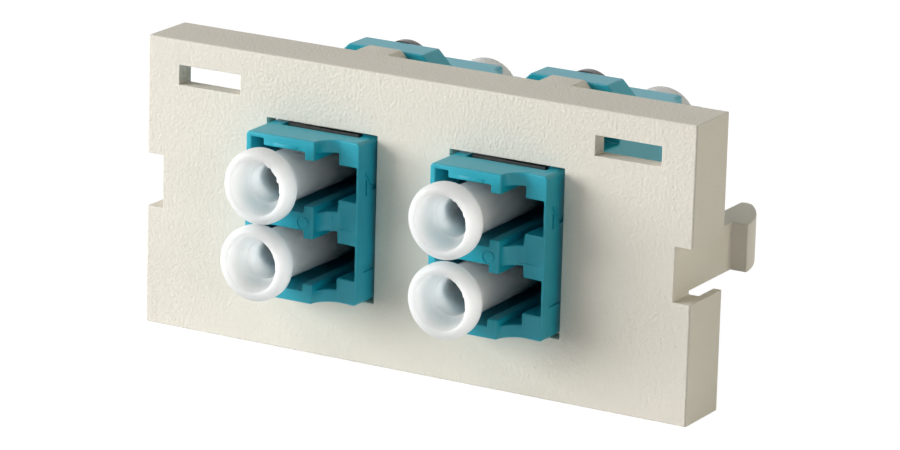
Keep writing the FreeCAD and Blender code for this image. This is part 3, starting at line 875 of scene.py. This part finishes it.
def crossed_wedges():
    """Two wedges, narrower at the bottom, that cross on the screw's axis."""
    wedges = []
    for turn in (0, math.pi / 2):
        drop_selection()
        bpy.ops.mesh.primitive_cube_add(size=1, rotation=(0, turn, 0),
                                        scale=(2 * RECESS_REACH, 2 * RECESS_DEPTH, RECESS_WIDTH))
        wedge = bpy.context.object
        wedge.name = "recess_wedge"
        settle(wedge)
        for point in wedge.data.vertices:
            if point.co.y > 0:
                point.co.x *= RECESS_TAPER
                point.co.z *= RECESS_TAPER
        wedges.append(wedge)
    return wedges

# %% One screw
screws = ending_in("screw")
low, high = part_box(screws[0])
FRAME_HEAD_HEIGHT = 1.5 * MM
HEAD_RADIUS = (high.x - low.x) / 2 + 0.1 * MM
HEAD_HEIGHT = 2.0 * MM
SHANK_RADIUS = 1.0 * MM
SHANK_LENGTH = high.y - low.y - FRAME_HEAD_HEIGHT
THREAD_START, THREAD_END = HEAD_HEIGHT + 0.3 * MM, HEAD_HEIGHT + SHANK_LENGTH - 0.1 * MM
SCREW_STEPS = 40

rings = screw_rings(HEAD_RADIUS, SHANK_RADIUS, HEAD_HEIGHT, SHANK_LENGTH)
screw_master = lathe("screw_master", rings, SCREW_STEPS)
settle(screw_master)
cut_thread(screw_master, SHANK_RADIUS, THREAD_START, THREAD_END)
for wedge in crossed_wedges():
    cut_or_add(screw_master, "DIFFERENCE", wedge)
report(screw_master)

# %% Four screws
FIRST_TURN, FURTHER_TURN = 0.4, 1.1

for place_in_row, node in enumerate(screws):
    low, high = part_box(node)
    seat = Vector(((low.x + high.x) / 2, high.y - FRAME_HEAD_HEIGHT + HEAD_HEIGHT, (low.z + high.z) / 2))
    turn = FIRST_TURN + FURTHER_TURN * place_in_row
    screw = copy_of(screw_master, node + "_turned")
    screw.matrix_world = (Matrix.Translation(seat) @ Matrix.Rotation(math.pi, 4, "X")
                          @ Matrix.Rotation(turn, 4, "Y"))
    hand_over(screw, "module", "screw_steel", screw_finish, node)
    smooth_up_to(screw, 35)
    print(node, "set at", [round(value / MM, 2) for value in seat])
bpy.data.objects.remove(screw_master)

# %% [markdown]
# ## The floor
#
# The module stands on its lower edge on a plain pale floor. In a shop picture the floor and the wall
# vanish into white, but they must not light the plastic more than a real studio would. So the floor is an
# ordinary pale surface for shadows and bounced light, and it looks white only to the camera and in
# reflections. The Light Path node tells those rays apart. A little of the true surface stays in the mix
# to keep the shadow.

# %% Floor
WHITE = (1, 1, 1, 1)
FLOOR_SIZE = 3
FLOOR_GLOW, GLOW_SHARE = 1.14, 0.85


def is_seen(tree):
    """1 for what the camera, a reflection or a clear material sees, and 0 for bounced light."""
    paths = Wire(tree).node("ShaderNodeLightPath").socket.node
    rays = [Wire(tree, paths.outputs[kind]) for kind in
            ("Is Camera Ray", "Is Glossy Ray", "Is Transmission Ray")]
    return rays[0] + rays[1] + rays[2] > 0.5


drop_selection()
bpy.ops.mesh.primitive_plane_add(size=FLOOR_SIZE, location=(0, 0, cad_box[0][2]))
floor = bpy.context.object
floor.name = "floor"
settle(floor)
floor_finish = bpy.data.materials.new("pale_floor")
floor_finish.use_nodes = True
tree = floor_finish.node_tree
shader = tree.nodes["Principled BSDF"]
shader.inputs["Base Color"].default_value = (0.86, 0.86, 0.86, 1)
shader.inputs["Roughness"].default_value = 0.9
glow = Wire(tree).node("ShaderNodeEmission", Color=WHITE, Strength=FLOOR_GLOW)
surface = Wire(tree).node("ShaderNodeMixShader", in_0=GLOW_SHARE * is_seen(tree),
                          in_1=Wire(tree, shader.outputs[0]), in_2=glow)
tree.links.new(surface.socket, tree.nodes["Material Output"].inputs["Surface"])
floor.data.materials.append(floor_finish)
print("floor at", round(cad_box[0][2] / MM, 2), "mm")

# %% [markdown]
# ## The light
#
# One large soft box from the left and a little above makes the form: it lights the front, and throws each
# adapter's long soft shadow to the right. A weaker one from high up on the same side brings out the tops
# of the adapters. Two weak boxes behind the plate's plane reach only its end and its top, and are
# slightly warm, as light that has bounced off ivory plastic is. A small lamp at the front right adds
# little light, but draws fine bright lines along the rounded edges. The room fills the rest. Everything
# is kept low enough that the white caps don't burn out.

# %% Light
ROOM_LIGHT = 0.055
world = bpy.data.worlds.new("studio")
world.use_nodes = True
bpy.context.scene.world = world
tree = world.node_tree
background = tree.nodes["Background"]
seen = is_seen(tree)
room = seen.blend((1.0, 0.97, 0.91, 1), WHITE)
tree.links.new(room.socket, background.inputs["Color"])
tree.links.new((ROOM_LIGHT + (1 - ROOM_LIGHT) * seen).socket, background.inputs["Strength"])


def softbox(name, place, size, power, colour):
    """A square studio light at a place in millimetres, turned to the object's middle."""
    data = bpy.data.lights.new(name, "AREA")
    data.size = size * MM
    data.energy = power
    data.color = colour
    lamp = bpy.data.objects.new(name, data)
    bpy.context.scene.collection.objects.link(lamp)
    lamp.location = Vector(place) * MM
    lamp.rotation_euler = (-lamp.location).to_track_quat("-Z", "Y").to_euler()
    print(name, "at", place, "mm,", power, "W")


softbox("key_light", (-590, -385, 150), 390, 5.9, (1, 1, 1))
softbox("upper_light", (-240, -270, 420), 300, 0.5, (1, 1, 1))
softbox("right_light", (500, 150, 60), 300, 0.86, (1.0, 0.95, 0.78))
softbox("top_light", (0, 250, 430), 300, 0.30, (1.0, 0.96, 0.83))
softbox("edge_light", (400, -350, 120), 60, 0.15, (1, 1, 1))
bpy.context.scene.view_settings.view_transform = "Standard"
